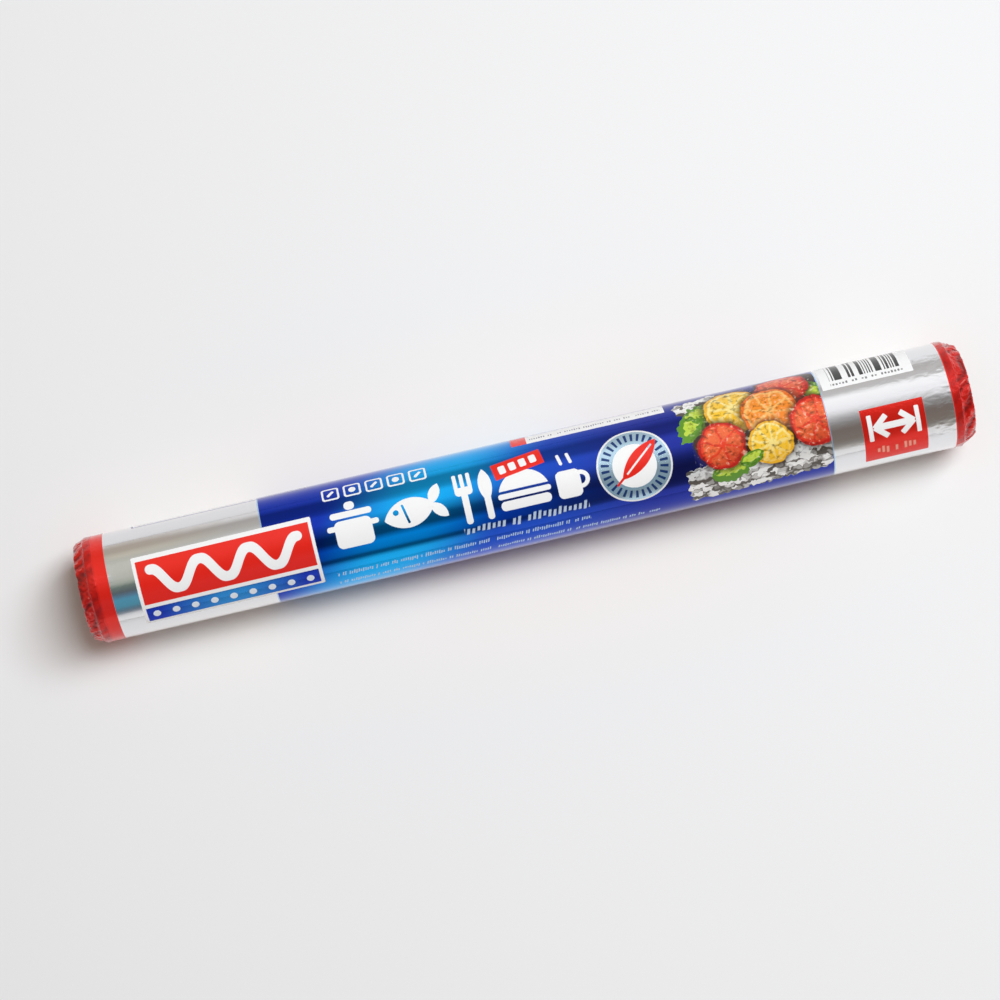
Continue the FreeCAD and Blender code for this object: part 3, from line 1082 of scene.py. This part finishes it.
def pleat(x, angle):
    """Sharp folds round the roll in uneven steps, from -1 in their valleys to 1 on their ridges."""
    side = 1 if x > 0 else -1
    spot = Vector((2.2 * math.cos(angle), 2.2 * math.sin(angle), 9 * side + 60 * x))
    turns = angle / (2 * math.pi)
    lean = side * (abs(x) - FOIL_END) / MM
    wide = zigzag(PLEATS * turns + 1.2 * noise.noise(spot) + 0.16 * lean)
    fine = zigzag(3 * PLEATS * turns + 1.5 * noise.noise(spot * 2) - 0.3 * lean)
    return 0.75 * wide + 0.3 * fine


def crumple(shape):
    """Moves the corners of the gathered ends, notes the folds, and dents the tight film a little."""
    draw = random.Random(7)
    pitch = 2 * math.pi / CORNERS
    least = FOIL_RADIUS + FILM_WALL + 0.04 * MM
    fold = shape.verts.layers.float.new("fold")
    for corner in shape.verts:
        radius, angle = from_axis(corner.co)
        x = corner.co.x
        side = 1 if x > 0 else -1
        out, round_by, along_by = (draw.uniform(-1, 1) for _ in range(3))
        share = fold_share(x, radius)
        if share:
            over_foil = abs(x) <= FOIL_END + 0.3 * MM
            swell = noise.noise(Vector((3 * math.cos(angle), 3 * math.sin(angle), 70 * x)))
            corner[fold] = share * pleat(x, angle)
            radius += (0.5 * corner[fold] + share * (0.35 * swell + 0.1 * out)) * MM
            radius = max(radius, least) if over_foil else radius
            angle += share * 0.4 * pitch * round_by
            x -= 0 if over_foil else side * share * 0.25 * (1 + swell + 0.5 * along_by) * MM
        elif x > GATHERED - CRINKLED:
            near_end = 1 - (GATHERED - x) / CRINKLED
            radius += near_end * (0.06 * out + 0.03) * MM
            angle += 0.4 * pitch * near_end * round_by
        else:
            spot = Vector((x * 45, math.sin(angle) * 2, math.cos(angle) * 2))
            radius -= 0.025 * MM * (1 + noise.noise(spot))
        if abs(angle - SEAM_ANGLE) < SEAM_HALF and abs(x) < GATHERED:
            radius += FILM_WALL
        corner.co = at_axis(x, radius, angle)
        corner.co.z = max(corner.co.z, 0.0)


def facet(shape):
    """Splits the crumpled faces into triangles and keeps their edges fairly sharp."""
    def crumpled(face):
        middle = face.calc_center_median().x
        return middle < -GATHERED or middle > GATHERED - CRINKLED

    bmesh.ops.triangulate(shape, faces=[f for f in shape.faces if crumpled(f)], quad_method="SHORT_EDGE")
    crease = shape.edges.layers.float.new("crease_edge")
    draw = random.Random(3)
    for face in shape.faces:
        if crumpled(face):
            gathered = abs(face.calc_center_median().x) > GATHERED
            for edge in face.edges:
                edge[crease] = draw.uniform(0.25, 0.75) if gathered else 0.3


def outwards(shape):
    """Turns the faces away from the roll's axis."""
    bmesh.ops.recalc_face_normals(shape, faces=shape.faces)
    sample = max(shape.faces, key=lambda face: face.calc_center_median().z)
    if sample.normal.z < 0:
        bmesh.ops.reverse_faces(shape, faces=shape.faces)


def new_piece(name, shape, material, node):
    """Makes an object of a finished shape, smooth, riding on the roll and standing for a node."""
    mesh = bpy.data.meshes.new(name)
    shape.to_mesh(mesh)
    shape.free()
    mesh.shade_smooth()
    mesh.materials.append(material)
    piece = bpy.data.objects.new(name, mesh)
    bpy.context.collection.objects.link(piece)
    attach(piece, "root")
    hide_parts(node)
    return piece


def make_film():
    shape = bmesh.new()
    spin_line(shape, lip_line(-1, False) + body_line() + lip_line(1, True), CORNERS)
    bmesh.ops.remove_doubles(shape, verts=shape.verts, dist=SAME_PLACE)
    outwards(shape)
    crumple(shape)
    facet(shape)
    film = new_piece("printed_film", shape, FILM_FINISH, "film_sleeve")
    rounding = film.modifiers.new("rounding", "SUBSURF")
    rounding.levels = rounding.render_levels = 1
    wall = film.modifiers.new("wall", "SOLIDIFY")
    wall.thickness = FILM_WALL
    wall.offset = -1
    print("film:", len(film.data.polygons), "faces before rounding")
    return film


make_film()

# %% [markdown]
# ## The cardboard core
# A core is wound at a slant from strips of brown board, and the strips' edges show as a spiral inside
# and out. The cut ends are a little furry. The tube is a rectangle spun round the axis, with its corners
# bevelled. The spiral is colour and bump, because a real one is a tenth of a millimetre deep.

# %% Make the core
BOARD = (0.46, 0.33, 0.21)
BOARD_DARK = (0.26, 0.17, 0.10)
STRIP = 62.0  # mm along the core for each turn of the strip
FIBRE_DEPTH = 0.03 * MM
SEAM_DEPTH = 0.06 * MM
RIM_BEVEL = 0.15 * MM
CORE_CORNERS = 96


def make_board_finish():
    material, tree, shader, place = new_material("wound cardboard")
    sheet = use_group(tree, UNROLLED, Place=place)
    fibre = speckle(tree, place, 1500, detail=4, stretch=(1, 0.3, 0.3))
    cloud = speckle(tree, place, 160, detail=2)
    turns = calc(tree, "DIVIDE", sheet["Round"], 2 * math.pi * FILM_RADIUS / MM)
    wound = calc(tree, "ADD", calc(tree, "DIVIDE", sheet["Along"], STRIP), turns)
    seam = ramp(tree, calc(tree, "PINGPONG", wound, 0.5), 0.0, 0.012)
    colour = mix_colour(tree, ramp(tree, fibre, 0.3, 0.7), BOARD_DARK, BOARD)
    colour = mix_colour(tree, times(tree, cloud, 0.3), colour, (0.58, 0.44, 0.30))
    colour = mix_colour(tree, seam, (0.10, 0.065, 0.04), colour)
    plug(tree, shader.inputs["Base Color"], colour)
    shader.inputs["Roughness"].default_value = 0.9
    add_bump(tree, shader, calc(tree, "ADD", times(tree, fibre, FIBRE_DEPTH), times(tree, seam, SEAM_DEPTH)))
    return material


def make_core():
    def is_rim(edge):
        one, other = edge.verts
        return abs(one.co.x - other.co.x) < SAME_PLACE and edge.calc_face_angle(0) > 1

    shape = bmesh.new()
    ends = (-CORE_END, -CORE_END, CORE_END, CORE_END)
    radii = (BORE_RADIUS, CORE_RADIUS, CORE_RADIUS, BORE_RADIUS)
    points = [Vector((x, 0, AXIS_HEIGHT + radius)) for x, radius in zip(ends, radii)]
    spin_line(shape, points + points[:1], CORE_CORNERS)
    bmesh.ops.remove_doubles(shape, verts=shape.verts, dist=SAME_PLACE)
    bmesh.ops.recalc_face_normals(shape, faces=shape.faces)
    rims = [edge for edge in shape.edges if is_rim(edge)]
    bmesh.ops.bevel(shape, geom=rims, offset=RIM_BEVEL, affect="EDGES", segments=2, profile=0.5, material=-1)
    core = new_piece("cardboard_core", shape, make_board_finish(), "core_tube")
    print("core:", len(core.data.polygons), "faces")
    return core


make_core()

# %% [markdown]
# ## The wound foil
# Nothing of the winding shows while the film is on, but a part that is taken out of its sleeve should still
# look like foil. On a real roll the turns' edges are fine steps on the end faces; here the winding keeps the
# frame's shape and gets only a new finish. Rolled aluminium has faint lines that run with the strip, which
# here means round the roll.

# %% Finish the foil
LINE_DEPTH = 0.006 * MM


def make_foil_finish():
    material, tree, shader, place = new_material("bright rolled foil")
    lines = speckle(tree, place, 1400, detail=3, stretch=(1, 0.03, 0.03))
    clouds = speckle(tree, place, 60, detail=2)
    colour = mix_colour(tree, clouds, (0.76, 0.77, 0.79), (0.88, 0.88, 0.89))
    plug(tree, shader.inputs["Base Color"], colour)
    shader.inputs["Metallic"].default_value = 1.0
    plug(tree, shader.inputs["Roughness"], ramp(tree, lines, 0.3, 0.7, 0.14, 0.30))
    add_bump(tree, shader, times(tree, lines, LINE_DEPTH))
    return material


foil = frame["nodes"]["foil_winding"]
foil.data.materials.clear()
foil.data.materials.append(make_foil_finish())
print("foil:", len(foil.data.polygons), "faces")
